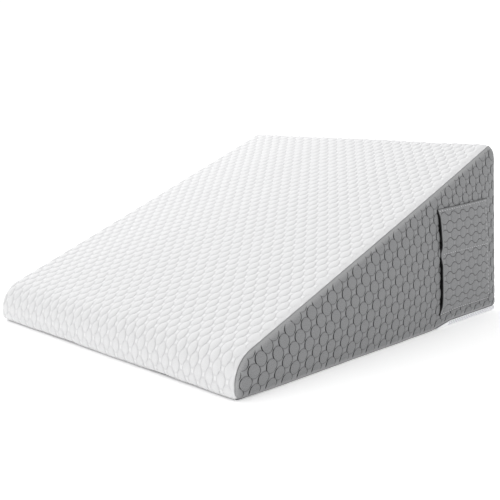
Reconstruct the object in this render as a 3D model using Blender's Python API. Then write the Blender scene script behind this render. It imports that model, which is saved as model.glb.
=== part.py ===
"""Wedge pillow: a filled wedge in a sewn cover, lying on its base.

Metres, +Z up. The thin nose faces -Y, the tall back faces +Y, and the origin is the
middle of the flat base. The cover is a white quilted top panel that runs from the toe
round the nose and up the slope, grey quilted side and back panels, a two-part pocket
on the right side and a white zip round the foot of the back.
"""

import math

import bmesh
import bpy
from mathutils import Vector
from mathutils.geometry import delaunay_2d_cdt

# Driving dimensions of the wedge
WIDTH = 0.545
LENGTH = 0.616
HEIGHT = 0.2905
NOSE_HEIGHT = 0.0502
NOSE_RADIUS = 0.045
TOE_RADIUS = 0.013
BACK_RADIUS = 0.020

# How far the filling spreads at the foot of the back, and draws in at its top
SPREAD = 0.012
LEAN = 0.0045

# Cloth of the cover, and how far pieces stay apart
CLOTH = 0.0026
CLEARANCE = 0.0005
SEAM_RADIUS = 0.008
SEAM_TURN = math.radians(45)
SEAM_INSET = SEAM_RADIUS * (1 - math.cos(SEAM_TURN)) + CLEARANCE / 2
END_DIP = 0.0012
TOP_CROWN = 0.004
SIDE_CROWN = 0.008
SIDE_CROWN_REACH = 0.08

# Quilted cells: pitch across the cells, pitch along them, swing of the grooves and relief
TOP_QUILT = {"across": 0.0120, "along": 0.0296, "swing": 0.0025, "relief": 0.0013}
SIDE_QUILT = {"across": 0.0146, "along": 0.0264, "swing": 0.0032, "relief": 0.0018}
POCKET_QUILT = {"across": 0.0137, "along": 0.0256, "swing": 0.0030, "relief": 0.0013}
QUILT_FADE = 0.012
QUILT_MARGIN = 0.0045
EDGE_STEP = 0.014
BEND_STEP = 0.0065
LINING_STEP = 0.036
HIDDEN_INSET = 0.0085
HIDDEN_ROW = 5

# Filled body inside the cloth: gap to the panels, depth of its edges and of its dip at the back seam
CUSHION_GAP = 0.0007
CUSHION_CORNER = 0.0052
CUSHION_SHOULDER = 0.0040
CUSHION_DIP = 0.0018
CUSHION_TOE = 0.0100

# Pocket corners as (distance from the front, height)
POCKET_FRONT_TOP = (0.420, 0.191)
POCKET_BACK_TOP = (0.569, 0.196)
POCKET_BACK_FOOT = (0.580, 0.021)
POCKET_FRONT_FOOT = (0.437, 0.022)
POCKET_FRONT_SAG = 0.003
POCKET_DIVIDER = 0.585
POCKET_GAPE = 0.0090

# Zip round the foot of the back
ZIP_FRONT = 0.424
ZIP_TAPER = 0.035
ZIP_HEIGHT = 0.0068
ZIP_CLOTH = 0.0015
ZIP_LIFT = 0.0006
ZIP_INSET = 0.0003
ZIP_CORNER = 0.010

# Lines that follow from them
FRONT = -LENGTH / 2
BACK = LENGTH / 2
SIDE = WIDTH / 2
SLOPE = (HEIGHT - NOSE_HEIGHT) / LENGTH
SLOPE_ANGLE = math.atan(SLOPE)
NOSE_LEVEL = NOSE_HEIGHT + SLOPE * NOSE_RADIUS - NOSE_RADIUS * math.hypot(1, SLOPE)
TOE_END = math.radians(30)


def outline_arcs():
    """Arcs of the side outline, toe to heel, as (centre y, centre z, radius, first angle, last angle).

    Angles run from 0 at -Y through 90 degrees at +Z to 180 degrees at +Y.
    """
    lean = math.pi / 2 - SLOPE_ANGLE
    toe = (FRONT + TOE_RADIUS, TOE_RADIUS, TOE_RADIUS, -math.pi / 2, 0.0)
    nose = (FRONT + NOSE_RADIUS, NOSE_LEVEL, NOSE_RADIUS, 0.0, lean)
    centre_y = BACK - BACK_RADIUS
    on_slope = NOSE_HEIGHT + SLOPE * (centre_y - FRONT)
    centre_z = on_slope - BACK_RADIUS * math.hypot(1, SLOPE)
    back = (centre_y, centre_z, BACK_RADIUS, lean, math.pi)
    return [toe, nose, back]


def outline_pieces():
    """Stretches of the outline as (length, function from distance to y, z, normal y, normal z)."""
    pieces = []
    last = None
    for cy, cz, radius, first, final in outline_arcs():
        start = (cy - radius * math.cos(first), cz + radius * math.sin(first))
        if last is not None:
            run = math.dist(last, start)
            if run > 1e-6:
                pieces.append((run, straight(last, start)))
        pieces.append((radius * (final - first), arc(cy, cz, radius, first)))
        last = (cy - radius * math.cos(final), cz + radius * math.sin(final))
    heel = (last[0], 0.0)
    pieces.append((math.dist(last, heel), straight(last, heel)))
    return pieces


def straight(a, b):
    """The outline between two points, as a function of the distance from the first."""
    run = math.dist(a, b)
    dy, dz = (b[0] - a[0]) / run, (b[1] - a[1]) / run
    return lambda t: (a[0] + dy * t, a[1] + dz * t, -dz, dy)


def arc(cy, cz, radius, first):
    """The outline round an arc, as a function of the distance from its first angle."""

    def at(t):
        angle = first + t / radius
        ny, nz = -math.cos(angle), math.sin(angle)
        return cy + radius * ny, cz + radius * nz, ny, nz

    return at


PIECES = outline_pieces()
OUTLINE_LENGTH = sum(length for length, _ in PIECES)
TOE_ARC, FRONT_RUN, NOSE_ARC, SLOPE_RUN, BACK_ARC, _ = (length for length, _ in PIECES)
TOP_FIRST = TOE_RADIUS * TOE_END
NOSE_END = TOE_ARC + FRONT_RUN + NOSE_ARC
TOP_LAST = NOSE_END + SLOPE_RUN


def outline(s):
    """Point and outward normal of the side outline at distance s from the toe's foot."""
    for length, at in PIECES[:-1]:
        if s <= length:
            return at(s)
        s -= length
    return PIECES[-1][1](s)


def foot(y):
    """Height of the side's lower edge, which rises over the zip towards the back."""
    return (ZIP_LIFT + ZIP_HEIGHT) * fade(y - FRONT - ZIP_FRONT, ZIP_TAPER)


def rim_rows():
    """Distances along the outline from toe to heel, closer together on the bends."""
    rows = [0.0]
    heel = OUTLINE_LENGTH - EDGE_STEP
    while rows[-1] < heel:
        s = rows[-1]
        bend = s < NOSE_END or abs(s - TOP_LAST - BACK_ARC / 2) < BACK_ARC
        rows.append(min(heel, s + EDGE_STEP * (0.45 if bend else 1.0)))
    return rows


def side_rim(inset, rows):
    """The side outline from heel over the top to toe as (y, z) points, in by inset."""
    return [(y - ny * inset, z - nz * inset) for y, z, ny, nz in map(outline, reversed(rows))]


RIM = side_rim(0.0, [TOP_FIRST] + [s for s in rim_rows() if s > TOP_FIRST] + [OUTLINE_LENGTH])


def line_distance(line, y, z):
    """How far a point lies from an open line of points."""
    best = 1.0
    for (ay, az), (by, bz) in zip(line, line[1:]):
        ey, ez = by - ay, bz - az
        t = ((y - ay) * ey + (z - az) * ez) / (ey * ey + ez * ez)
        t = min(1.0, max(0.0, t))
        best = min(best, math.hypot(y - ay - t * ey, z - az - t * ez))
    return best


def side_border(inset, lift):
    """The side panel's edge, counter-clockwise: the foot from toe to heel, then back over the rim."""
    toe, heel = FRONT + TOE_RADIUS, BACK - inset
    count = round((heel - toe) / EDGE_STEP)
    along = [toe + (heel - toe) * i / count for i in range(1, count + 1)]
    return [(y, foot(y) + lift) for y in along] + side_rim(inset, rim_rows())


def seam_drop(distance):
    """How far a panel dips as it turns in to the seam at its side."""
    if distance >= SEAM_RADIUS:
        return 0.0
    reach = SEAM_RADIUS - max(distance, SEAM_INSET * 0.9)
    return SEAM_RADIUS - math.sqrt(SEAM_RADIUS**2 - reach**2)


def end_drop(distance, x):
    """The shallower dip beside the seam between the top and the back, none at its ends."""
    share = max(0.0, 1 - distance / SEAM_RADIUS) ** 2
    return END_DIP * share * fade(SIDE - abs(x) - SEAM_INSET, SEAM_RADIUS)


def fade(distance, reach):
    """A smooth rise from 0 at no distance to 1 at the reach."""
    t = min(1.0, max(0.0, distance / reach))
    return t * t * (3 - 2 * t)


def settle(x, y, z):
    """A point moved as the filling spreads low down at the back and draws in high up."""
    rear = max(0.0, (y - FRONT) / LENGTH) ** 2
    low = 1 - 2 * z / HEIGHT
    return Vector((x * (1 + SPREAD * rear * low), y + LEAN * rear * low, z))


def top_crown(x, s):
    """How far the filling swells the top, most in the middle."""
    along = min(1.0, max(0.0, (s - TOP_FIRST) / (TOP_LAST - TOP_FIRST)))
    return TOP_CROWN * (1 - (x / SIDE) ** 2) * math.sin(math.pi * along)


def top_place(x, s):
    """A point of the top surface at x across and s along the outline."""
    y, z, ny, nz = outline(s)
    out = top_crown(x, s) - seam_drop(SIDE - abs(x)) - end_drop(TOP_LAST - s, x)
    return settle(x, y + ny * out, z + nz * out)


def back_place(x, s):
    """A point of the back surface; s runs down it from the seam with the top panel."""
    y, z, ny, nz = outline(s)
    out = -seam_drop(SIDE - abs(x)) - end_drop(s - TOP_LAST, x)
    return settle(x, y + ny * out, z + nz * out)


def side_place(sign, proud=lambda y, z: 0.0):
    """A function for points of the side surface, or of one that stands proud of it."""

    def place(y, z):
        rim = line_distance(RIM, y, z)
        reach = min(1.0, max(0.0, min(rim, z)) / SIDE_CROWN_REACH)
        crown = SIDE_CROWN * (1 - (1 - reach) ** 2)
        return settle(sign * (SIDE + crown - seam_drop(rim) + proud(y, z)), y, z)

    return place


def pocket_lift(y, z):
    """Height of the pocket's face over the side: sewn at three edges and a divider, open in front."""
    front, back = POCKET_FRONT_FOOT[0] + FRONT, POCKET_BACK_FOOT[0] + FRONT
    low, high = POCKET_FRONT_FOOT[1], POCKET_FRONT_TOP[1]
    middle = low + POCKET_DIVIDER * (high - low)
    first, last = (low, middle) if z < middle else (middle, high)
    share = min(1.0, max(0.0, (z - first) / (last - first)))
    depth = min(1.0, max(0.0, (y - front) / (back - front)))
    gape = POCKET_GAPE * math.sin(math.pi * share) * math.cos(depth * math.pi / 2)
    return CLEARANCE + CLOTH + gape


def offset(place, u, v, lift, outward):
    """The point at u, v of a surface, moved by lift along its normal."""
    step = 0.0004
    across = place(u + step, v) - place(u - step, v)
    along = place(u, v + step) - place(u, v - step)
    normal = across.cross(along).normalized()
    if normal.dot(outward(u, v)) < 0:
        normal = -normal
    return place(u, v) + normal * lift


def quilt(weave, u_range, v_range, distance, turned=False):
    """Points of the quilted cells as (u, v, lift): a raised middle in a ring of groove points."""
    across, along = weave["across"], weave["along"]
    if turned:
        u_range, v_range = v_range, u_range
    columns = int((u_range[1] - u_range[0]) / across) + 2
    rows = int((v_range[1] - v_range[0]) / (along / 2)) + 2
    middle = (u_range[0] + u_range[1]) / 2
    points = []
    for column in range(-columns // 2, columns // 2 + 1):
        for row in range(rows):
            v = v_range[0] + row * along / 2
            shift = weave["swing"] * (-1) ** (column + row)
            groove = (middle + (column + 0.5) * across + shift, v, 0.0)
            found = [groove]
            if (column + row) % 2 == 0:
                found.append((middle + column * across, v, weave["relief"]))
            for u, w, lift in found:
                at = (w, u) if turned else (u, w)
                room = distance(*at)
                if room > QUILT_MARGIN:
                    points.append((*at, lift * fade(room, QUILT_FADE)))
    return points


def grid(u_range, v_range, distance):
    """Sparse points for the hidden face of a panel."""
    points = []
    for i in range(1, int((u_range[1] - u_range[0]) / LINING_STEP) + 1):
        for j in range(1, int((v_range[1] - v_range[0]) / LINING_STEP) + 1):
            u, v = u_range[0] + i * LINING_STEP, v_range[0] + j * LINING_STEP
            if distance(u, v) > LINING_STEP / 3:
                points.append((u, v, 0.0))
    return points


def bend_rows():
    """Distances along the outline that follow the toe and nose closely."""
    end = NOSE_END + 0.004
    count = round((end - TOP_FIRST) / BEND_STEP)
    return [TOP_FIRST + (end - TOP_FIRST) * i / count for i in range(count + 1)]


def back_bend_rows():
    """Distances along the outline that follow the rounded top of the back."""
    return [TOP_LAST + (BACK_ARC + 0.004) * i / 6 for i in range(1, 7)]


def rows_across(edge, rows, bends):
    """Hidden points of a panel: every row at its seam rolls, and between them the first rows,
    which follow the bends, then one row in HIDDEN_ROW."""
    spots = shoulders(edge)
    points = [(u, v, 0.0) for v in rows for u in (spots[0], spots[-1])]
    sparse = [v for i, v in enumerate(rows) if i < bends or i % HIDDEN_ROW == 0 or v == rows[-1]]
    return points + [(u, v, 0.0) for v in sparse for u in spots[1:-1]]


def shoulders(edge):
    """Places across a panel for its hidden face: one at each seam roll and even ones between."""
    shoulder = edge - HIDDEN_INSET + SEAM_INSET
    return [shoulder * i / 4 for i in range(-4, 5)]


def rectangle(edge, rows):
    """A border, counter-clockwise, from -edge to edge across and along the given rows."""
    across = [-edge] + shoulders(edge)
    first = [(u, rows[0]) for u in across]
    right = [(edge, v) for v in rows[:-1]]
    last = [(-u, rows[-1]) for u in across]
    left = [(-edge, v) for v in rows[:0:-1]]
    return first + right + last + left


def triangles(border, inner):
    """Delaunay triangles inside a border, on its points and the inner ones."""
    flat = [Vector(p[:2]) for p in border] + [Vector(p[:2]) for p in inner]
    loop = [list(range(len(border)))]
    points, _, faces, origins, _, _ = delaunay_2d_cdt(flat, [], loop, 1, 1e-7)
    index = [found[0] for found in origins]
    return [[index[i] for i in face] for face in faces]


def panel(name, material, border, raised, hidden, place, outward, thickness):
    """A closed cloth panel: a quilted outer face, a plain inner face and the cut edge."""
    bm = bmesh.new()
    edge = [(u, v, 0.0) for u, v in border]
    outer = [bm.verts.new(offset(place, u, v, lift, outward)) for u, v, lift in edge + raised]
    inner = [bm.verts.new(offset(place, u, v, lift - thickness, outward)) for u, v, lift in edge + hidden]
    for face in triangles(border, raised):
        bm.faces.new([outer[i] for i in face])
    for face in triangles(border, hidden):
        bm.faces.new([inner[i] for i in reversed(face)])
    count = len(border)
    for i in range(count):
        j = (i + 1) % count
        bm.faces.new([outer[j], outer[i], inner[i], inner[j]])
    return finish(name, bm, material)


def finish(name, bm, material):
    """A named object from finished faces, all turned outwards."""
    bmesh.ops.recalc_face_normals(bm, faces=bm.faces[:])
    bmesh.ops.triangulate(bm, faces=bm.faces[:])
    mesh = bpy.data.meshes.new(name)
    bm.to_mesh(mesh)
    bm.free()
    mesh.materials.append(material)
    mesh.shade_smooth()
    mesh.set_sharp_from_angle(angle=math.radians(50))
    item = bpy.data.objects.new(name, mesh)
    bpy.context.scene.collection.objects.link(item)
    return item


def cloth(name, colour, roughness):
    """A matt cloth material."""
    material = bpy.data.materials.new(name)
    material.use_nodes = True
    shader = material.node_tree.nodes["Principled BSDF"]
    shader.inputs["Base Color"].default_value = (*colour, 1.0)
    shader.inputs["Roughness"].default_value = roughness
    shader.inputs["Metallic"].default_value = 0.0
    return material


def make_cushion(material):
    """The filled body: rings of the outline across the width, closed by the two side faces."""
    depth = CLOTH + CUSHION_GAP
    half = SIDE - CUSHION_CORNER
    shoulder = half - CUSHION_SHOULDER
    stations = [-half] + [shoulder * (i / 5 - 1) for i in range(11)] + [half]
    top = bend_rows()
    run = TOP_LAST - EDGE_STEP - top[-1]
    top += [top[-1] + run * i / 11 for i in range(1, 12)] + [TOP_LAST]
    over = back_bend_rows()
    down = [over[-1] + (OUTLINE_LENGTH - over[-1]) * i / 6 for i in range(1, 7)]
    toe, heel = FRONT + CUSHION_TOE, BACK - depth - CUSHION_DIP
    base = [(heel + (toe - heel) * i / 12, 0.0) for i in range(1, 13)]

    bm = bmesh.new()
    rings = []
    for x in stations:
        inset = CUSHION_CORNER if abs(x) > shoulder + 1e-6 else depth
        ring = []
        for s in top + over + down:
            y, z, ny, nz = outline(s)
            dip = CUSHION_DIP * max(0.0, 1 - abs(s - TOP_LAST) / EDGE_STEP)
            foot_dip = CUSHION_DIP * max(0.0, 1 - (OUTLINE_LENGTH - s) / EDGE_STEP)
            out = top_crown(x, s) - max(inset, depth + dip + foot_dip)
            ring.append((y + ny * out, max(0.0, z + nz * out)))
        rings.append([bm.verts.new(settle(x, y, z)) for y, z in ring + base])
    count = len(rings[0])
    for near, far in zip(rings, rings[1:]):
        for i in range(count):
            j = (i + 1) % count
            bm.faces.new([near[i], near[j], far[j], far[i]])
    spots = side_spots()
    border = (ring + base)[::-1]
    for sign, edge in ((-1, rings[0]), (1, rings[-1])):
        place = side_place(sign, lambda y, z: -depth)
        corners = edge[::-1] + [bm.verts.new(place(y, z)) for y, z, _ in spots]
        for face in triangles(border, spots):
            bm.faces.new([corners[i] for i in face])
    return finish("cushion", bm, material)


def side_spots():
    """Hidden points of a side, a ring inside the seam and a grid, shared with the cushion's side face."""
    border = side_border(HIDDEN_INSET, HIDDEN_INSET)
    keep = [p for p in border if line_distance(RIM, *p) > HIDDEN_INSET * 0.98]
    ring = [(y, z, 0.0) for y, z in keep]

    def room(y, z):
        return min(math.dist((y, z), p) for p in border) if inside((y, z), border) else -1.0

    return ring + grid((FRONT, BACK), (0.0, HEIGHT), room)


def inside(point, loop):
    """Whether a point lies inside a closed line of points."""
    y, z = point
    found = False
    for (ay, az), (by, bz) in zip(loop, loop[1:] + loop[:1]):
        if (az > z) != (bz > z) and y < (by - ay) * (z - az) / (bz - az) + ay:
            found = not found
    return found


def make_top(material):
    """The white panel from the toe round the nose and up the slope."""
    edge = SIDE - SEAM_INSET
    last = TOP_LAST - CLEARANCE / 2
    bends = bend_rows()
    steps = round((last - bends[-1]) / EDGE_STEP)
    rows = bends + [bends[-1] + (last - bends[-1]) * i / steps for i in range(1, steps + 1)]
    border = rectangle(edge, rows)

    def room(x, s):
        return min(edge - abs(x), s - rows[0], last - s)

    raised = quilt(TOP_QUILT, (-edge, edge), (rows[0], last), room)
    hidden = rows_across(edge, rows[1:-1], len(bends))
    return panel("top_panel", material, border, raised, hidden, top_place, top_outward, CLOTH)


def top_outward(x, s):
    """The outward direction of the top and back panels."""
    _, _, ny, nz = outline(s)
    return Vector((0, ny, nz))


def make_back(material):
    """The grey panel from the rounded rear edge down to the zip."""
    edge = SIDE - SEAM_INSET
    first = TOP_LAST + CLEARANCE / 2
    last = OUTLINE_LENGTH - foot(BACK) - CLEARANCE
    bends = back_bend_rows()
    rows = [first] + bends
    steps = round((last - rows[-1]) / EDGE_STEP)
    rows += [rows[-1] + (last - rows[-1]) * (i + 1) / steps for i in range(steps)]
    border = rectangle(edge, rows)

    def room(x, s):
        return min(edge - abs(x), s - first, last - s)

    raised = quilt(SIDE_QUILT, (-edge, edge), (first, last), room)
    hidden = rows_across(edge, rows[1:-1], len(bends))
    return panel("back_panel", material, border, raised, hidden, back_place, top_outward, CLOTH)


def pocket_room(y, z):
    """How far outside the pocket a point of the side lies, up to zero beneath it."""
    front, back = POCKET_FRONT_TOP[0] + FRONT, POCKET_BACK_TOP[0] + FRONT
    beside = max(front - y, y - back)
    above = max(POCKET_BACK_FOOT[1] - z, z - POCKET_BACK_TOP[1])
    return max(0.0, beside, above)


def make_side(name, sign, material):
    """A grey wedge-shaped panel, plain under the pocket on the right side."""
    border = side_border(SEAM_INSET, CLEARANCE)

    def room(y, z):
        if not inside((y, z), border):
            return -1.0
        return min(line_distance(RIM, y, z) - SEAM_INSET, z - foot(y))

    raised = quilt(SIDE_QUILT, (FRONT, BACK), (0.0, HEIGHT), room)
    if sign > 0:
        raised = [(y, z, lift * fade(pocket_room(y, z) - QUILT_FADE, QUILT_FADE)) for y, z, lift in raised]

    def outward(y, z):
        return Vector((sign, 0, 0))

    return panel(name, material, border, raised, side_spots(), side_place(sign), outward, CLOTH)


def make_pocket(material):
    """The pocket patch: a quilted cloth turned a quarter, sewn at top, back, foot and divider."""
    corners = [POCKET_FRONT_FOOT, POCKET_BACK_FOOT, POCKET_BACK_TOP, POCKET_FRONT_TOP]
    corners = [(y + FRONT, z) for y, z in corners]
    counts = (12, 15, 12, 18)
    border = []
    for side, count in enumerate(counts):
        (ay, az), (by, bz) = corners[side], corners[(side + 1) % 4]
        for i in range(count):
            t = i / count
            sag = POCKET_FRONT_SAG * math.sin(math.pi * t) if side == 3 else 0.0
            border.append((ay + (by - ay) * t + sag, az + (bz - az) * t))

    def room(y, z):
        if not inside((y, z), border):
            return -1.0
        return min(math.dist((y, z), p) for p in border)

    low, high = POCKET_BACK_FOOT[1], POCKET_BACK_TOP[1]
    raised = quilt(POCKET_QUILT, (border[0][0], BACK), (low, high), room, turned=True)
    hidden = quilt(POCKET_QUILT, (border[0][0], BACK), (low, high), room, turned=True)
    hidden = [(y, z, 0.0) for y, z, lift in hidden if lift == 0.0]

    def outward(y, z):
        return Vector((1, 0, 0))

    return panel("pocket", material, border, raised, hidden, side_place(1, pocket_lift), outward, CLOTH)


def zip_path():
    """Stations round the foot of the back as (point, outward direction)."""
    x_line, y_line = SIDE - ZIP_INSET, BACK - ZIP_INSET
    start = FRONT + ZIP_FRONT + ZIP_TAPER * 0.3
    run = y_line - ZIP_CORNER - start
    half = [((x_line, start + run * i / 12), (1.0, 0.0)) for i in range(12)]
    for i in range(5):
        angle = i / 4 * math.pi / 2
        dx, dy = math.cos(angle), math.sin(angle)
        half.append(((x_line + ZIP_CORNER * (dx - 1), y_line + ZIP_CORNER * (dy - 1)), (dx, dy)))
    other = [((-x, y), (-dx, dy)) for (x, y), (dx, dy) in reversed(half)]
    return half + other


def make_zip(material):
    """A closed zip on edge round the foot of the back, tapering to a point at each end."""
    bm = bmesh.new()
    sections = []
    for (x, y), (dx, dy) in zip_path():
        top = foot(y)
        outer = [(x, y, ZIP_LIFT), (x, y, top)]
        inner = [(x - dx * ZIP_CLOTH, y - dy * ZIP_CLOTH, z) for z in (top, ZIP_LIFT)]
        sections.append([bm.verts.new(settle(*point)) for point in outer + inner])
    for near, far in zip(sections, sections[1:]):
        for i in range(4):
            j = (i + 1) % 4
            bm.faces.new([near[i], near[j], far[j], far[i]])
    bm.faces.new(sections[0])
    bm.faces.new(sections[-1][::-1])
    return finish("zip", bm, material)


for item in list(bpy.data.objects):
    bpy.data.objects.remove(item)

white = cloth("white quilted knit", (0.88, 0.88, 0.89), 0.85)
grey = cloth("grey quilted knit", (0.235, 0.238, 0.245), 0.9)
base = cloth("grey base cloth", (0.16, 0.162, 0.168), 0.92)
tape = cloth("white zip tape", (0.86, 0.86, 0.88), 0.6)

make_cushion(base)
make_top(white)
make_back(grey)
make_side("side_panel_right", 1, grey)
make_side("side_panel_left", -1, grey)
make_pocket(grey)
make_zip(tape)
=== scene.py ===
"""A wedge pillow in a two-colour quilted cover, lying on a pale floor."""

import math

import bmesh
import bpy
import numpy as np
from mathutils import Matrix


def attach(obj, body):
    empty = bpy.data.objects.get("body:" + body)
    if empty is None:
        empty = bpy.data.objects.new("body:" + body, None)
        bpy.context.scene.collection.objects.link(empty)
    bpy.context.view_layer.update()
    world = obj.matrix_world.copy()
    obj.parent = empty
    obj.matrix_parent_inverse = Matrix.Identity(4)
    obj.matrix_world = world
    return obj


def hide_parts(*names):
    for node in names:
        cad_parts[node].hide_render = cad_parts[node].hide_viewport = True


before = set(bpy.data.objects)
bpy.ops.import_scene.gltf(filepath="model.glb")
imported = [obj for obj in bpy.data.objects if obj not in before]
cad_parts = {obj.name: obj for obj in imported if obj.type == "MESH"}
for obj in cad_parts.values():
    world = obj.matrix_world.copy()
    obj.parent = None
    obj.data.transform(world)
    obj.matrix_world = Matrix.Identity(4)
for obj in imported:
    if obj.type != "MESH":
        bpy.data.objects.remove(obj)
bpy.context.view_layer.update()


# The top panel: one length of white knit mattress cloth, quilted to a thin wadding in small
# oval cells. It runs from the toe round the nose and up the slope, and its edges turn down
# into the seams with the sides, the back and the base.

WIDTH, LENGTH, HEIGHT = 0.545, 0.616, 0.2905
NOSE_HEIGHT, NOSE_RADIUS, TOE_RADIUS, BACK_RADIUS = 0.0502, 0.045, 0.013, 0.020
SPREAD, LEAN = 0.012, 0.0045
FRONT, BACK, SIDE = -LENGTH / 2, LENGTH / 2, WIDTH / 2
SLOPE = (HEIGHT - NOSE_HEIGHT) / LENGTH
SLOPE_ANGLE = math.atan(SLOPE)
NOSE_LEVEL = NOSE_HEIGHT + SLOPE * NOSE_RADIUS - NOSE_RADIUS * math.hypot(1, SLOPE)
TOE_END = math.radians(30)
OVER_RIDGE = 0.012
TOP_CROWN = 0.004
SEAM_RADIUS, SEAM_TURN = 0.0085, 0.95
SEAM_INSET, SEAM_DIP, SEAM_GAP = 0.00257, 0.0012, 0.0004
FLAT_MARGIN, SLACK_MARGIN = 0.010, 0.03

# How a panel is quilted: the distance between columns of ovals and between the ovals of one
# column, an oval's half width and half length, the lean of the columns, the height of an oval,
# the middle of one oval, and the mesh's steps across a cell and rows along it.
TOP_CELLS = {
    "across": 0.0105, "along": 0.0275, "half": (0.0074, 0.0098), "slant": 0.0, "relief": 0.0021,
    "start": (-0.0025, 0.003), "steps": 4, "rows": 16,
}
DOME_FULLNESS, GAP_HEIGHT, GAP_RING = 2.4, 0.5, 1.35
WHITE_KNIT = (0.70, 0.70, 0.705)
# The colour of the painted shade in the top's quilting grooves.
WHITE_GROOVE_SHADE = (0.42, 0.42, 0.435)
GROOVE_LINE = 0.0008
LOOP_SCALE, MOTTLE_SCALE = 1300.0, 1200.0
ARC_STEPS = 200


def outline_corners(arc_steps):
    """The side outline as (y, z) points, from the toe over the nose and the slope to the heel."""
    lean = math.pi / 2 - SLOPE_ANGLE
    back_y = BACK - BACK_RADIUS
    back_z = NOSE_HEIGHT + SLOPE * (back_y - FRONT) - BACK_RADIUS * math.hypot(1, SLOPE)
    arcs = [
        (FRONT + TOE_RADIUS, TOE_RADIUS, TOE_RADIUS, -math.pi / 2, 0.0),
        (FRONT + NOSE_RADIUS, NOSE_LEVEL, NOSE_RADIUS, 0.0, lean),
        (back_y, back_z, BACK_RADIUS, lean, math.pi),
    ]
    points = []
    for cy, cz, radius, first, last in arcs:
        angles = np.linspace(first, last, arc_steps)
        points += list(zip(cy - radius * np.cos(angles), cz + radius * np.sin(angles)))
    return np.array(points + [(BACK, 0.0)])


CORNERS = outline_corners(ARC_STEPS)
RUN = np.r_[0.0, np.cumsum(np.hypot(*np.diff(CORNERS, axis=0).T))]
TOP_FIRST = TOE_RADIUS * TOE_END
TOP_LAST = RUN[2 * ARC_STEPS] + OVER_RIDGE


def outline(s):
    """Points and outward normals of the outline at distances s from the toe's foot."""
    step = 0.0005
    y, z = np.interp(s, RUN, CORNERS[:, 0]), np.interp(s, RUN, CORNERS[:, 1])
    ty = np.interp(s + step, RUN, CORNERS[:, 0]) - np.interp(s - step, RUN, CORNERS[:, 0])
    tz = np.interp(s + step, RUN, CORNERS[:, 1]) - np.interp(s - step, RUN, CORNERS[:, 1])
    size = np.hypot(ty, tz)
    return y, z, -tz / size, ty / size


def smooth(value, first, last):
    """A smooth step from 0 at first to 1 at last."""
    t = np.clip((value - first) / (last - first), 0.0, 1.0)
    return t * t * (3 - 2 * t)


def turned_in(distance):
    """How far a panel has dropped at a distance from the edge that its seam rolls round."""
    reach = np.clip(SEAM_RADIUS - distance, 0.0, SEAM_RADIUS * SEAM_TURN)
    return SEAM_RADIUS - np.sqrt(SEAM_RADIUS**2 - reach**2)


def slack(u, v):
    """The slight unevenness of cloth over foam."""
    wide = np.sin(23 * u + 1.3) * np.sin(19 * v + 0.4)
    narrow = np.sin(61 * u + 37 * v) * np.sin(43 * v - 29 * u + 2.0)
    return 0.0006 * wide + 0.0004 * narrow


def settle(x, y, z):
    """The filling spreads at the foot of the back and draws in at its top."""
    rear = np.clip((y - FRONT) / LENGTH, 0.0, None) ** 2
    low = 1 - 2 * z / HEIGHT
    return np.stack([x * (1 + SPREAD * rear * low), y + LEAN * rear * low, z], axis=-1)


def quilting(u, v, cells):
    """Height of the quilted cloth at u, v: staggered oval cells with a lower puff in each gap."""
    a, b = cells["across"], cells["along"]
    p, q = u - cells["start"][0] + cells["slant"] * v, v - cells["start"][1]
    ring = np.full(np.shape(u), 9.0)
    for shift in (0.0, 0.5):
        x = p / (2 * a) + shift
        y = q / b + shift
        x, y = (x - np.round(x)) * 2 * a, (y - np.round(y)) * b
        across = (x - cells["slant"] * y) / cells["half"][0]
        ring = np.minimum(ring, np.hypot(across, y / cells["half"][1]))
    dome = np.sqrt(np.clip(1 - ring**DOME_FULLNESS, 0.0, 1.0))
    gap = GAP_HEIGHT * smooth(ring, 1.0, GAP_RING)
    return cells["relief"] * np.maximum(dome, gap)


def groove_grid(low, high, cells, turned):
    """Flat points over a rectangle, in lines that follow the sides of the cells."""
    a, b, steps = cells["across"], cells["along"], cells["steps"]
    if turned:
        low, high = low[::-1], high[::-1]
    shear = cells["slant"] * np.array([low[1], high[1]])
    first_u = low[0] - cells["start"][0] + shear.min()
    last_u = high[0] - cells["start"][0] + shear.max()
    first_v, last_v = low[1] - cells["start"][1], high[1] - cells["start"][1]
    q = np.arange(math.floor(first_v / b) - 1, math.ceil(last_v / b) + 1, 1 / cells["rows"]) * b
    q = q[(q > first_v - b / 4) & (q < last_v + b / 4)]
    turn = q / b - np.round(q / b)
    half_width, half_length = cells["half"]
    near = np.minimum(np.abs(turn), 0.5 - np.abs(turn)) * b / half_length
    bulge = half_width * (np.sqrt(1 - near**2) - np.sqrt(1 - (b / 4 / half_length) ** 2))
    wave = np.where(np.abs(turn) <= 0.25, bulge, -bulge)
    spread = np.sin(np.pi / 2 * (2 * np.arange(steps) / steps - 1))
    lines = []
    for column in range(math.floor(first_u / a) - 1, math.ceil(last_u / a) + 2):
        half = a / 2 + (wave if column % 2 == 0 else -wave)
        lines += [column * a + share * half for share in spread]
    v = q + cells["start"][1]
    u = np.array(lines) + cells["start"][0] - cells["slant"] * v
    points = np.stack([u, np.broadcast_to(v, u.shape)], axis=-1)
    return points[..., ::-1] if turned else points


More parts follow.
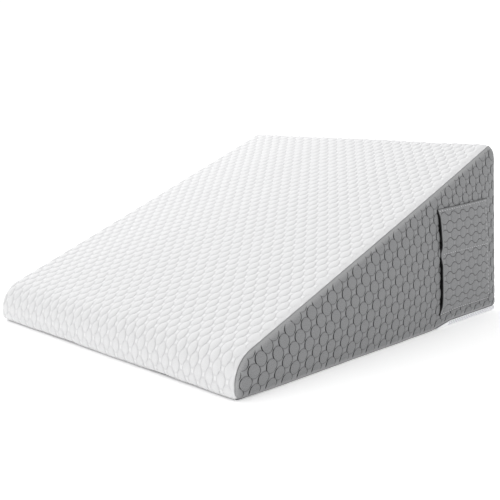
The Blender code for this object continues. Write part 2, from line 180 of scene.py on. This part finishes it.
def cut_cloth(border, cells, turned):
    """Cuts the flat cloth to a convex border. Returns its points, its faces and its edge."""
    low, high = border.min(axis=0), border.max(axis=0)
    bm = bmesh.new()
    rows = [[bm.verts.new((*p, 0.0)) for p in row] for row in groove_grid(low, high, cells, turned)]
    for near, far in zip(rows, rows[1:]):
        for i in range(len(near) - 1):
            quad = (near[i], near[i + 1], far[i + 1], far[i])
            bm.faces.new(quad if turned else quad[::-1])
    for a, b in zip(border, np.roll(border, -1, axis=0)):
        everything = bm.verts[:] + bm.edges[:] + bm.faces[:]
        square = (b[1] - a[1], a[0] - b[0], 0.0)
        bmesh.ops.bisect_plane(
            bm, geom=everything, dist=1e-6, plane_co=(*a, 0.0), plane_no=square, clear_outer=True
        )
    bmesh.ops.remove_doubles(bm, verts=bm.verts[:], dist=3e-5)
    bmesh.ops.triangulate(bm, faces=[f for f in bm.faces if len(f.verts) > 4])
    bm.verts.index_update()
    flat = np.array([v.co[:2] for v in bm.verts])
    faces = [[v.index for v in face.verts] for face in bm.faces]
    sides = [e.link_loops[0] for e in bm.edges if e.is_boundary]
    edge = [(side.vert.index, side.link_loop_next.vert.index) for side in sides]
    bm.free()
    return flat, faces, edge


def room_inside(corners, u, v):
    """How far points lie inside the lines through corners, which go round anticlockwise."""
    room = np.full(np.shape(u), 1.0)
    for a, b in zip(corners, corners[1:]):
        along = (b - a) / np.linalg.norm(b - a)
        room = np.minimum(room, along[0] * (v - a[1]) - along[1] * (u - a[0]))
    return room


def new_object(name, points, edges=(), faces=()):
    """A mesh object at the origin, added to the scene."""
    mesh = bpy.data.meshes.new(name)
    mesh.from_pydata(points.tolist(), edges, faces)
    item = bpy.data.objects.new(name, mesh)
    bpy.context.scene.collection.objects.link(item)
    return item


def quilted_panel(
    name, border, cells, surface, outward, turned=False, hem=0.004, lined=False, pressed=None
):
    """A quilted panel cut to a convex border and laid on a surface.

    surface(u, v) gives points of it, and outward is a direction on its outer side. The edge is
    turned in by the hem; a lined panel has a plain inner face at that depth instead. A seam
    across the panel at v = pressed holds the quilting down as its edge does.
    """
    border = np.array(border)
    flat, faces, edge = cut_cloth(border, cells, turned)
    u, v = flat.T
    height = quilting(v, u, cells) if turned else quilting(u, v, cells)
    room = room_inside(np.vstack([border, border[:1]]), u, v)
    held_down = room if pressed is None else np.minimum(room, np.abs(v - pressed))
    height = height * smooth(held_down, 0.0, FLAT_MARGIN)
    step = 0.0003
    across = surface(u + step, v) - surface(u - step, v)
    normal = np.cross(across, surface(u, v + step) - surface(u, v - step))
    normal /= np.linalg.norm(normal, axis=1)[:, None]
    flip = float(np.mean(normal @ np.array(outward))) < 0
    if flip:
        normal = -normal
    outer = surface(u, v) + normal * height[:, None]
    inner = surface(u, v) - normal * hem
    walls = [(b, a, a + len(flat), b + len(flat)) for a, b in edge]
    back = [[i + len(flat) for i in face[::-1]] for face in faces] if lined else []
    whole = faces + walls + back
    if flip:
        whole = [face[::-1] for face in whole]
    item = new_object(name, np.concatenate([outer, inner]), faces=whole)
    mesh = item.data
    coords = np.concatenate([flat, flat])
    corner = np.empty(len(mesh.loops), dtype=np.int32)
    mesh.loops.foreach_get("vertex_index", corner)
    mesh.uv_layers.new(name="cloth").uv.foreach_set("vector", coords[corner].ravel())
    room = np.concatenate([room, 0 * room])
    mesh.attributes.new("edge", "FLOAT", "POINT").data.foreach_set("value", room)
    bm = bmesh.new()
    bm.from_mesh(mesh)
    bmesh.ops.delete(bm, geom=[v for v in bm.verts if not v.link_faces], context="VERTS")
    bm.to_mesh(mesh)
    bm.free()
    mesh.shade_smooth()
    return item


class Signal:
    """A shader value; arithmetic on it adds Math nodes."""

    def __init__(self, finish, socket):
        self.finish, self.socket = finish, socket

    def math(self, operation, *others, first=None):
        """Adds a Math node on this value, or on first with this value among the others."""
        values = [self if first is None else first, *others]
        return self.finish.node("ShaderNodeMath", {"operation": operation}, dict(enumerate(values)))

    def __add__(self, other):
        return self.math("ADD", other)

    def __sub__(self, other):
        return self.math("SUBTRACT", other)

    def __rsub__(self, other):
        return self.math("SUBTRACT", self, first=other)

    def __mul__(self, other):
        return self.math("MULTIPLY", other)

    def __truediv__(self, other):
        return self.math("DIVIDE", other)

    __radd__, __rmul__ = __add__, __mul__

    def __abs__(self):
        return self.math("ABSOLUTE")

    def ramp(self, first, last):
        """A smooth step from 0 at first to 1 at last."""
        settings = {"interpolation_type": "SMOOTHSTEP"}
        values = {0: self, 1: first, 2: last, 3: 0.0, 4: 1.0}
        return self.finish.node("ShaderNodeMapRange", settings, values)


class Finish:
    """A material under construction. Its shader keeps the constants; signals feed the rest."""

    def __init__(self, name, **constants):
        self.material = bpy.data.materials.new(name)
        self.material.use_nodes = True
        self.tree = self.material.node_tree
        self.shader = self.tree.nodes["Principled BSDF"]
        for socket, value in constants.items():
            self.shader.inputs[socket.replace("_", " ")].default_value = value

    def node(self, kind, settings=None, inputs=None, output=0):
        """Adds a node and returns the signal of one of its outputs."""
        made = self.tree.nodes.new(kind)
        for key, value in (settings or {}).items():
            setattr(made, key, value)
        for key, value in (inputs or {}).items():
            self.feed(made.inputs[key], value)
        return Signal(self, made.outputs[output])

    def feed(self, socket, value):
        """Links a signal to a socket, or sets a constant on it."""
        if isinstance(value, Signal):
            self.tree.links.new(value.socket, socket)
        else:
            socket.default_value = value

    def mix(self, share, first, second):
        """A colour between two others, which is all of the second where share is 1."""
        values = {0: share, 6: first, 7: second}
        return self.node("ShaderNodeMix", {"data_type": "RGBA"}, values, output=2)

    def bump(self, height, distance, strength=1.0):
        """A normal for fine relief of the given height signal."""
        values = {"Height": height, "Distance": distance, "Strength": strength}
        return self.node("ShaderNodeBump", {}, values)


def oval_rings(u, v, cells):
    """Signals: the nearest oval's ring, 1 at its stitching, and how far round to its flank."""
    a, b = cells["across"], cells["along"]
    p = (u + v * cells["slant"] - cells["start"][0]) / (2 * a)
    q = (v - cells["start"][1]) / b
    rings, flanks = [], []
    for shift in (0.0, 0.5):
        x = p + shift - (p + shift).math("ROUND")
        y = q + shift - (q + shift).math("ROUND")
        across = (x * (2 * a) - y * (b * cells["slant"])) / cells["half"][0]
        along = y * (b / cells["half"][1])
        rings.append((across * across + along * along).math("SQRT"))
        flanks.append(abs(across) / rings[-1])
    nearer = rings[0].math("LESS_THAN", rings[1])
    flank = nearer * flanks[0] + (1.0 - nearer) * flanks[1]
    return rings[0].math("MINIMUM", rings[1]), flank


def mouth_shade(u, v, mouth):
    """A signal that is 1 on the cloth behind a pocket's open edge, where near-black shade is
    painted, and 0 elsewhere.
    """
    (foot_u, foot_v), (top_u, top_v), far_u = mouth
    lean = (top_u - foot_u) / (top_v - foot_v)
    beyond = u - v * lean - (foot_u - foot_v * lean)
    within = beyond.ramp(-0.0012, 0.0004) * (1.0 - u.ramp(far_u - 0.004, far_u))
    return within * v.ramp(foot_v, foot_v + 0.003) * (1.0 - v.ramp(top_v - 0.003, top_v))


def shade(colour, scale):
    """A colour made lighter or darker, with its alpha."""
    return [c * scale for c in colour] + [1.0]


def quilted_knit(
    name, colour, groove_shade_colour, cells, turned=False, line=1.0, grain=0.24, seam_highlight=0.0,
    seam_shade=0.3, mouth=None,
):
    """Knit mattress cloth: fine loops, with painted shade along the stitched groove round each oval
    cell, strongest on the ovals' flanks, and a painted highlight in the gaps between the ovals.

    line and grain say how strongly the rings' painted shade and the loops are coloured. The
    cloth gets a painted highlight of seam_highlight where it rolls round a seam, short of the rear
    edge, painted shade of seam_shade in the crevice at its very edge, and near-black painted shade
    behind a pocket's mouth: two points of the open edge, then how far back it reaches.
    """
    knit = Finish(name, Roughness=0.92, Sheen_Weight=0.06, Sheen_Roughness=0.6)
    knit.shader.inputs["Specular IOR Level"].default_value = 0.1
    place = knit.node("ShaderNodeUVMap", {"uv_map": "cloth"})
    u = knit.node("ShaderNodeSeparateXYZ", {}, {0: place}, output=1 if turned else 0)
    v = knit.node("ShaderNodeSeparateXYZ", {}, {0: place}, output=0 if turned else 1)
    edge = knit.node("ShaderNodeAttribute", {"attribute_name": "edge"}, output=2)
    ring, flank = oval_rings(u, v, cells)
    width = GROOVE_LINE / cells["half"][0]
    # Painted shade along each oval's stitched groove, strongest on its flanks, faded at the edge.
    groove_shade = 1.0 - abs(ring - 1.0).ramp(width * 0.35, width)
    lines = groove_shade * (0.35 + 0.65 * flank.ramp(0.45, 0.8)) * edge.ramp(0.002, 0.006)
    loops = knit.node("ShaderNodeTexVoronoi", {}, {"Vector": place, "Scale": LOOP_SCALE})
    mottle = knit.node(
        "ShaderNodeTexNoise", {}, {"Vector": place, "Scale": MOTTLE_SCALE, "Detail": 2.0}
    )
    cloth = knit.mix(mottle.ramp(0.3, 0.7), shade(colour, 1 - grain), shade(colour, 1 + grain))
    # Painted highlight: the gaps between the ovals are made paler.
    cloth = knit.mix(ring.ramp(1.05, 1.3) * 0.5, cloth, shade(colour, 1.25))
    # Painted highlight on the cloth rolled round a seam, left off near the rear edge, which is in
    # shade.
    rear = u.ramp(BACK - 0.020, BACK - 0.012)
    roll_highlight = (1.0 - edge.ramp(0.001, SEAM_RADIUS)) * (1.0 - rear) * seam_highlight
    cloth = knit.mix(roll_highlight, cloth, [(c + WHITE_KNIT[0]) / 2 for c in colour] + [1.0])
    # The grooves get their painted shade.
    tone = knit.mix(lines * line, cloth, [*groove_shade_colour, 1.0])
    # Painted shade in the crevice at the cloth's very edge.
    seam = 1.0 - edge.ramp(0.0001, 0.0007)
    tone = knit.mix(seam * seam_shade, tone, shade(colour, 0.2))
    # Near-black painted shade on the cloth behind a pocket's open edge.
    if mouth:
        tone = knit.mix(mouth_shade(u, v, mouth), tone, [0.001, 0.001, 0.001, 1.0])
    knit.feed(knit.shader.inputs["Base Color"], tone)
    height = 1.0 - lines * 0.8 + loops * 0.16 + mottle * 0.22
    knit.feed(knit.shader.inputs["Normal"], knit.bump(height, 0.0009, 0.8))
    return knit.material


def top_surface(x, s):
    """Points of the top panel at x and distance s along the outline."""
    y, z, ny, nz = outline(s)
    along = np.clip((s - TOP_FIRST) / (TOP_LAST - TOP_FIRST), 0.0, 1.0)
    crown = TOP_CROWN * (1 - (x / SIDE) ** 2) * np.sin(np.pi * along)
    dip = SEAM_DIP * np.clip(1 - (TOP_LAST - s) / SEAM_RADIUS, 0.0, 1.0) ** 2
    inset = SIDE - np.abs(x)
    out = crown - turned_in(inset) - dip + slack(x, s) * smooth(inset, 0.0, SLACK_MARGIN)
    return settle(x, y + ny * out, z + nz * out)


top_edge = SIDE - SEAM_INSET
top_border = [(-top_edge, TOP_FIRST), (top_edge, TOP_FIRST)]
top_border += [(top_edge, TOP_LAST - SEAM_GAP), (-top_edge, TOP_LAST - SEAM_GAP)]
top_panel = quilted_panel("top_cloth", top_border, TOP_CELLS, top_surface, (0, -0.4, 0.9))
top_panel.data.materials.append(
    quilted_knit("white_knit", WHITE_KNIT, WHITE_GROOVE_SHADE, TOP_CELLS, line=0.15, grain=0.04)
)
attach(top_panel, "root")
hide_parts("top_panel")


# The side panels: grey knit wedges, quilted in larger cells that run up and down. They swell a
# little over the foam and turn in to the seams round their rim. The right one carries the pocket.

SIDE_CELLS = {
    "across": 0.01443, "along": 0.0258, "half": (0.0094, 0.0092), "slant": 0.157, "relief": 0.0016,
    "start": (0.0293, 0.072), "steps": 6, "rows": 20,
}
SIDE_CROWN, SIDE_CROWN_REACH = 0.008, 0.08
FOOT_TUCK, FOOT_TUCK_REACH = 0.0018, 0.009
FLOOR_GAP = 0.0005
ZIP_FRONT, ZIP_TAPER, ZIP_TOP, ZIP_LIFT_REACH = 0.424, 0.050, 0.0078, 0.05
GREY_KNIT = (0.224, 0.226, 0.230)
# The near-black colour of the painted shade in the grey panels' quilting grooves.
GREY_GROOVE_SHADE = (0.004, 0.004, 0.005)
FRONT_TOP, BACK_TOP, BACK_FOOT, FRONT_FOOT = (
    (FRONT + y, z) for y, z in ((0.4255, 0.191), (0.569, 0.196), (0.580, 0.021), (0.4350, 0.022))
)
POCKET_DEPTH = 0.560
RIM = outline_corners(9)[::-1]


def foot(y):
    """Height of the side's lower edge, which rises over the zip."""
    return ZIP_TOP * np.clip((y - FRONT - ZIP_FRONT) / ZIP_TAPER, 0.0, 1.0)


def side_surface(sign, proud=lambda y, z: 0.0):
    """The surface of one side over its flat y, z, and of what lies proud of it."""

    def surface(y, z):
        rim = room_inside(RIM, y, z)
        reach = np.clip((np.minimum(rim, z) - SEAM_INSET) / SIDE_CROWN_REACH, 0.0, 1.0)
        crown = SIDE_CROWN * (1 - (1 - reach) ** 2)
        tuck = FOOT_TUCK * np.clip(1 - z / FOOT_TUCK_REACH, 0.0, 1.0) ** 2
        uneven = slack(y, z) * smooth(rim, 0.0, SLACK_MARGIN)
        out = crown - turned_in(rim) - tuck + uneven + proud(y, z)
        lift = foot(y) * np.clip(1 - z / ZIP_LIFT_REACH, 0.0, 1.0)
        return settle(sign * (SIDE + out), y, z + lift)

    return surface


def side_outline():
    """The cut edge of a side: its foot from toe to heel, then the rim turned in to the seam.

    The seam follows the rim at one distance, and comes down to the floor round the toe.
    """
    way = np.diff(RIM, axis=0)
    way /= np.linalg.norm(way, axis=1)[:, None]
    inward = np.stack([-way[:, 1], way[:, 0]], axis=-1)
    turn = inward[:-1] + inward[1:]
    seam = RIM[1:-1] + SEAM_INSET * turn / np.linalg.norm(turn, axis=1)[:, None]
    toe = seam[:, 1] < TOE_RADIUS
    deeper = (TOE_RADIUS - FLOOR_GAP) / (TOE_RADIUS - SEAM_INSET)
    seam[toe, 1] = TOE_RADIUS - (TOE_RADIUS - seam[toe, 1]) * deeper
    return [(FRONT + TOE_RADIUS, FLOOR_GAP), (BACK - SEAM_INSET, FLOOR_GAP), *map(tuple, seam)]


for name, node, sign, mouth in (
    ("side_cloth_right", "side_panel_right", 1, (FRONT_FOOT, FRONT_TOP, FRONT + POCKET_DEPTH)),
    ("side_cloth_left", "side_panel_left", -1, None),
):
    panel = quilted_panel(name, side_outline(), SIDE_CELLS, side_surface(sign), (sign, 0, 0))
    # The grey sides get a painted highlight round their rolled rim; the right one painted shade
    # behind its pocket's mouth.
    panel.data.materials.append(quilted_knit(
        name + "_knit", GREY_KNIT, GREY_GROOVE_SHADE, SIDE_CELLS, seam_highlight=0.4, mouth=mouth
    ))
    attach(panel, "root")
    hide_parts(node)


# The pocket: a patch of the grey knit with its pattern turned a quarter. It is stitched to the
# side along its top, rear and foot and across a divider, and its front edge gapes open.

POCKET_CELLS = {
    "across": 0.0133, "along": 0.0268, "half": (0.0092, 0.0096), "slant": 0.0, "relief": 0.0012,
    "start": (0.030, 0.142), "steps": 4, "rows": 16,
}
POCKET_CLOTH, POCKET_SEAM, POCKET_GAPE = 0.0014, 0.0028, 0.0032
DIVIDER_HEIGHT = 0.121
STITCH_LENGTH, STITCH_WIDTH, STITCH_PITCH = 0.0034, 0.0011, 0.0064
STITCH_INSET, STITCH_RISE = 0.003, 0.0004


def pocket_lift(y, z):
    """Height of the pocket over the side: down at its stitched lines, up along the open edge."""
    lower = np.where(z < DIVIDER_HEIGHT, FRONT_FOOT[1], DIVIDER_HEIGHT)
    upper = np.where(z < DIVIDER_HEIGHT, DIVIDER_HEIGHT, FRONT_TOP[1])
    share = np.clip((z - lower) / (upper - lower), 0.0, 1.0)
    depth = np.clip((y - FRONT_TOP[0]) / (BACK_TOP[0] - FRONT_TOP[0]), 0.0, 1.0)
    bow = smooth(np.minimum(share, 1 - share), 0.0, 0.2)
    gape = POCKET_GAPE * bow * np.cos(depth * np.pi / 2) ** 2
    return POCKET_SEAM + gape


pocket_border = [FRONT_FOOT, BACK_FOOT, BACK_TOP, FRONT_TOP]
pocket = quilted_panel(
    "pocket_cloth", pocket_border, POCKET_CELLS, side_surface(1, pocket_lift), (1, 0, 0),
    turned=True, hem=POCKET_CLOTH, lined=True, pressed=DIVIDER_HEIGHT,
)
# The pocket's cut edges, its open mouth among them, are painted fully dark as shade.
pocket.data.materials.append(quilted_knit(
    "pocket_knit", GREY_KNIT, GREY_GROOVE_SHADE, POCKET_CELLS, turned=True, line=0.6, seam_shade=1.0
))


def row_along(name, points, pitch, tile, material, upright=False):
    """A row of tiles along a line through points, each turned to follow it, as one plain mesh."""
    item = new_object(name, points, edges=[(i, i + 1) for i in range(len(points) - 1)])
    tree = bpy.data.node_groups.new(name, "GeometryNodeTree")
    tree.interface.new_socket("Line", in_out="INPUT", socket_type="NodeSocketGeometry")
    step = tree.interface.new_socket("Pitch", in_out="INPUT", socket_type="NodeSocketFloat")
    stamp = tree.interface.new_socket("Tile", in_out="INPUT", socket_type="NodeSocketObject")
    finish = tree.interface.new_socket("Finish", in_out="INPUT", socket_type="NodeSocketMaterial")
    tree.interface.new_socket("Row", in_out="OUTPUT", socket_type="NodeSocketGeometry")
    nodes = {kind: tree.nodes.new(kind) for kind in (
        "NodeGroupInput", "GeometryNodeMeshToCurve", "GeometryNodeResampleCurve",
        "GeometryNodeObjectInfo", "GeometryNodeInputTangent", "FunctionNodeAlignRotationToVector",
        "GeometryNodeInstanceOnPoints", "GeometryNodeRealizeInstances", "GeometryNodeSetMaterial",
        "NodeGroupOutput",
    )}
    nodes["GeometryNodeResampleCurve"].mode = "LENGTH"
    turn = "FunctionNodeAlignRotationToVector"
    nodes[turn].axis = "X"
    nodes[turn].pivot_axis = "Z" if upright else "AUTO"
    for source, output, target, socket in (
        ("NodeGroupInput", "Line", "GeometryNodeMeshToCurve", "Mesh"),
        ("GeometryNodeMeshToCurve", "Curve", "GeometryNodeResampleCurve", "Curve"),
        ("NodeGroupInput", "Pitch", "GeometryNodeResampleCurve", "Length"),
        ("NodeGroupInput", "Tile", "GeometryNodeObjectInfo", "Object"),
        ("GeometryNodeInputTangent", "Tangent", turn, "Vector"),
        ("GeometryNodeResampleCurve", "Curve", "GeometryNodeInstanceOnPoints", "Points"),
        ("GeometryNodeObjectInfo", "Geometry", "GeometryNodeInstanceOnPoints", "Instance"),
        (turn, "Rotation", "GeometryNodeInstanceOnPoints", "Rotation"),
        ("GeometryNodeInstanceOnPoints", "Instances", "GeometryNodeRealizeInstances", "Geometry"),
        ("GeometryNodeRealizeInstances", "Geometry", "GeometryNodeSetMaterial", "Geometry"),
        ("NodeGroupInput", "Finish", "GeometryNodeSetMaterial", "Material"),
        ("GeometryNodeSetMaterial", "Geometry", "NodeGroupOutput", "Row"),
    ):
        tree.links.new(nodes[source].outputs[output], nodes[target].inputs[socket])
    modifier = item.modifiers.new("row", "NODES")
    modifier.node_group = tree
    modifier[step.identifier] = pitch
    modifier[stamp.identifier] = tile
    modifier[finish.identifier] = material
    graph = bpy.context.evaluated_depsgraph_get()
    plain = bpy.data.meshes.new_from_object(item.evaluated_get(graph), depsgraph=graph)
    item.modifiers.clear()
    item.data = plain
    return item


def bead(name, length, width, lean=0.0, sides=6):
    """A tile along X, kept out of the scene: a bar with tapered ends, leant over towards Z."""
    points, faces = [(-length / 2, 0.0, -lean / 2)], []
    for place, size in ((-0.38, 0.75), (-0.15, 1.0), (0.15, 1.0), (0.38, 0.75)):
        for i in range(sides):
            turn = 2 * math.pi * i / sides
            across = size * width / 2
            rise = place * lean + across * math.sin(turn)
            points.append((place * length, across * math.cos(turn), rise))
    points.append((length / 2, 0.0, lean / 2))
    for ring in range(3):
        for i in range(sides):
            a, b = 1 + ring * sides + i, 1 + ring * sides + (i + 1) % sides
            faces.append((a, b, b + sides, a + sides))
    for i in range(sides):
        faces.append((0, 1 + (i + 1) % sides, 1 + i))
        faces.append((len(points) - 1, 1 + 3 * sides + i, 1 + 3 * sides + (i + 1) % sides))
    mesh = bpy.data.meshes.new(name)
    mesh.from_pydata(points, [], faces)
    mesh.shade_smooth()
    return bpy.data.objects.new(name, mesh)


thread = Finish("pocket_thread", Roughness=0.7, Base_Color=(0.48, 0.48, 0.49, 1.0))
stitch = bead("stitch", STITCH_LENGTH, STITCH_WIDTH)
on_pocket = side_surface(1, lambda y, z: pocket_lift(y, z) + STITCH_RISE)
rows = []
for name, first, last in (
    (
        "stitches_foot",
        (FRONT_FOOT[0] + 0.002, FRONT_FOOT[1] + STITCH_INSET),
        (BACK_FOOT[0] - STITCH_INSET, BACK_FOOT[1] + STITCH_INSET),
    ),
    (
        "stitches_rear",
        (BACK_FOOT[0] - STITCH_INSET, BACK_FOOT[1] + 0.004),
        (BACK_TOP[0] - STITCH_INSET, BACK_TOP[1] - 0.004),
    ),
    (
        "stitches_top",
        (FRONT_TOP[0] + 0.004, FRONT_TOP[1] - STITCH_INSET),
        (BACK_TOP[0] - STITCH_INSET, BACK_TOP[1] - STITCH_INSET),
    ),
    (
        "stitches_divider",
        (FRONT_TOP[0] + 0.012, DIVIDER_HEIGHT),
        (BACK_TOP[0] + STITCH_INSET, DIVIDER_HEIGHT),
    ),
):
    points = on_pocket(*np.linspace(first, last, 40).T)
    rows.append(row_along(name, points, STITCH_PITCH, stitch, thread.material))
for row in rows:
    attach(row, "root")
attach(pocket, "root")
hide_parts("pocket")


# The zip: a white tape with its closed coil, sewn round the foot of the back between the panels
# and the base. It tapers out at each end on the sides.

ZIP_LOW = 0.0006
ZIP_CORNER = 0.010
ZIP_GAP, ZIP_SUNK, ZIP_BULGE, ZIP_DEPTH = 0.0003, 0.0012, 0.0009, 0.0024
RIB_LENGTH, RIB_WIDTH, RIB_LEAN, RIB_PITCH = 0.0052, 0.0018, 0.0048, 0.0056
RIB_SUNK = 0.0002


def zip_line(corner_steps=8):
    """Points and outward directions round the foot of the back, from the right tip to the left."""
    start = FRONT + ZIP_FRONT + ZIP_TAPER * 0.25
    run = np.linspace(start, BACK - ZIP_CORNER, 40)[:-1]
    right = [((SIDE, y), (1.0, 0.0)) for y in run]
    for turn in np.linspace(0.0, math.pi / 2, corner_steps):
        dx, dy = math.cos(turn), math.sin(turn)
        right.append(((SIDE + ZIP_CORNER * (dx - 1), BACK + ZIP_CORNER * (dy - 1)), (dx, dy)))
    across = np.linspace(SIDE - ZIP_CORNER, ZIP_CORNER - SIDE, 60)[1:-1]
    back = [((x, BACK), (0.0, 1.0)) for x in across]
    left = [((-x, y), (-dx, dy)) for (x, y), (dx, dy) in reversed(right)]
    return right + back + left


points, faces = [], []
profile = [(t, math.sin(math.pi * t)) for t in np.linspace(0.0, 1.0, 6)]
for (x, y), (dx, dy) in zip_line():
    top = foot(y) - ZIP_GAP
    for t, bulge in profile:
        out = ZIP_BULGE * bulge - ZIP_SUNK
        points.append((x + dx * out, y + dy * out, ZIP_LOW + (top - ZIP_LOW) * t))
    for t in (0.85, 0.15):
        height = ZIP_LOW + (top - ZIP_LOW) * t
        points.append((x - dx * ZIP_DEPTH, y - dy * ZIP_DEPTH, height))
sides = len(profile) + 2
count = len(points) // sides
for i in range(count - 1):
    for j in range(sides):
        a, b = i * sides + j, i * sides + (j + 1) % sides
        faces.append((a, a + sides, b + sides, b))
faces += [tuple(range(sides)), tuple((count - 1) * sides + j for j in reversed(range(sides)))]
zip_band = new_object("zip_band", settle(*np.array(points).T), faces=faces)
zip_band.data.shade_smooth()
tape = Finish("zip_tape", Roughness=0.55, Base_Color=(0.93, 0.93, 0.95, 1.0))
zip_band.data.materials.append(tape.material)

rib_points = [
    (x - dx * RIB_SUNK, y - dy * RIB_SUNK, (foot(y) + ZIP_LOW) / 2)
    for (x, y), (dx, dy) in zip_line() if foot(y) > ZIP_TOP * 0.9
]
coil = Finish("zip_coil", Roughness=0.4, Base_Color=(0.62, 0.62, 0.65, 1.0))
rib = bead("zip_rib", RIB_LENGTH, RIB_WIDTH, lean=RIB_LEAN)
rib_points = settle(*np.array(rib_points).T)
ribs = row_along("zip_ribs", rib_points, RIB_PITCH, rib, coil.material, upright=True)
for item in (zip_band, ribs):
    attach(item, "root")
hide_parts("zip")


# The back panel: the same grey knit, from the rounded rear edge straight down to the zip. It is
# sewn to the top and the sides and to the zip's upper tape.

BACK_CELLS = {**SIDE_CELLS, "slant": 0.0, "start": (0.0, 0.004)}
BACK_FIRST, BACK_LAST = TOP_LAST + SEAM_GAP, RUN[-1] - ZIP_TOP - ZIP_GAP
BACK_CROWN = 0.002


def back_surface(x, s):
    """Points of the back panel at x and distance s along the outline."""
    y, z, ny, nz = outline(s)
    dip = SEAM_DIP * np.clip(1 - (s - TOP_LAST) / SEAM_RADIUS, 0.0, 1.0) ** 2
    inset = SIDE - np.abs(x)
    middle = smooth(np.minimum(inset, s - TOP_LAST), 0.0, SLACK_MARGIN)
    out = BACK_CROWN * middle - turned_in(inset) - dip + slack(x, s) * middle
    return settle(x, y + ny * out, z + nz * out)


back_border = [(-top_edge, BACK_FIRST), (top_edge, BACK_FIRST)]
back_border += [(top_edge, BACK_LAST), (-top_edge, BACK_LAST)]
back_panel = quilted_panel("back_cloth", back_border, BACK_CELLS, back_surface, (0, 1, 0.1))
back_panel.data.materials.append(
    quilted_knit("back_knit", GREY_KNIT, GREY_GROOVE_SHADE, BACK_CELLS)
)
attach(back_panel, "root")
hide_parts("back_panel")


# The filled body: a foam wedge that fills the cover. All that shows of it is the plain woven
# base cloth underneath, dark grey, which is sewn to the panels and the zip round its edge.

WEAVE_PITCH = 0.0011
WEAVE_TURN = 2 * math.pi / WEAVE_PITCH
base_cloth = Finish("base_weave", Roughness=0.9, Sheen_Weight=0.15)
place = base_cloth.node("ShaderNodeTexCoord", output=3)
x = base_cloth.node("ShaderNodeSeparateXYZ", {}, {0: place}, output=0) * WEAVE_TURN
y = base_cloth.node("ShaderNodeSeparateXYZ", {}, {0: place}, output=1) * WEAVE_TURN
threads = (x.math("SINE") * y.math("SINE")).ramp(-0.8, 0.8)
tone = base_cloth.mix(threads, [0.125, 0.126, 0.130, 1.0], [0.185, 0.187, 0.192, 1.0])
base_cloth.feed(base_cloth.shader.inputs["Base Color"], tone)
base_cloth.feed(base_cloth.shader.inputs["Normal"], base_cloth.bump(threads, 0.0003, 0.6))
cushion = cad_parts["cushion"]
for slot in cushion.material_slots:
    slot.material = base_cloth.material


# The floor, the lights and the camera: a white studio, bright all round, with a soft key light
# from the left that rakes the quilting.

bpy.ops.mesh.primitive_plane_add(size=40)
floor = bpy.context.object
floor.name = "floor"
paper = Finish("studio_paper", Roughness=0.95, Base_Color=(0.97, 0.97, 0.97, 1.0),
               Emission_Color=(1.0, 1.0, 1.0, 1.0), Emission_Strength=0.20)
floor.data.materials.append(paper.material)

world = bpy.context.scene.world or bpy.data.worlds.new("studio")
bpy.context.scene.world = world
world.use_nodes = True
world.node_tree.nodes["Background"].inputs["Color"].default_value = (1.0, 1.0, 1.0, 1.0)
world.node_tree.nodes["Background"].inputs["Strength"].default_value = 1.06

lamp = bpy.data.lights.new("key", "AREA")
lamp.energy, lamp.size = 16.0, 0.7
key = bpy.data.objects.new("key", lamp)
key.visible_camera = False
key.location = (-1.5, 0.3, 1.3)
key.rotation_euler = (-key.location).to_track_quat("-Z", "Y").to_euler()
bpy.context.scene.collection.objects.link(key)

camera = bpy.data.cameras.new("camera")
camera.lens = 60.87
camera.sensor_width = 36.0
camera.shift_x, camera.shift_y = -0.04, -0.11
view = bpy.data.objects.new("camera", camera)
view.location = (0.9687, -0.9814, 0.3638)
view.rotation_euler = (math.radians(90 - 6.748), 0.0, math.radians(43.468))
bpy.context.scene.collection.objects.link(view)
bpy.context.scene.camera = view
bpy.context.scene.view_settings.view_transform = "Standard"
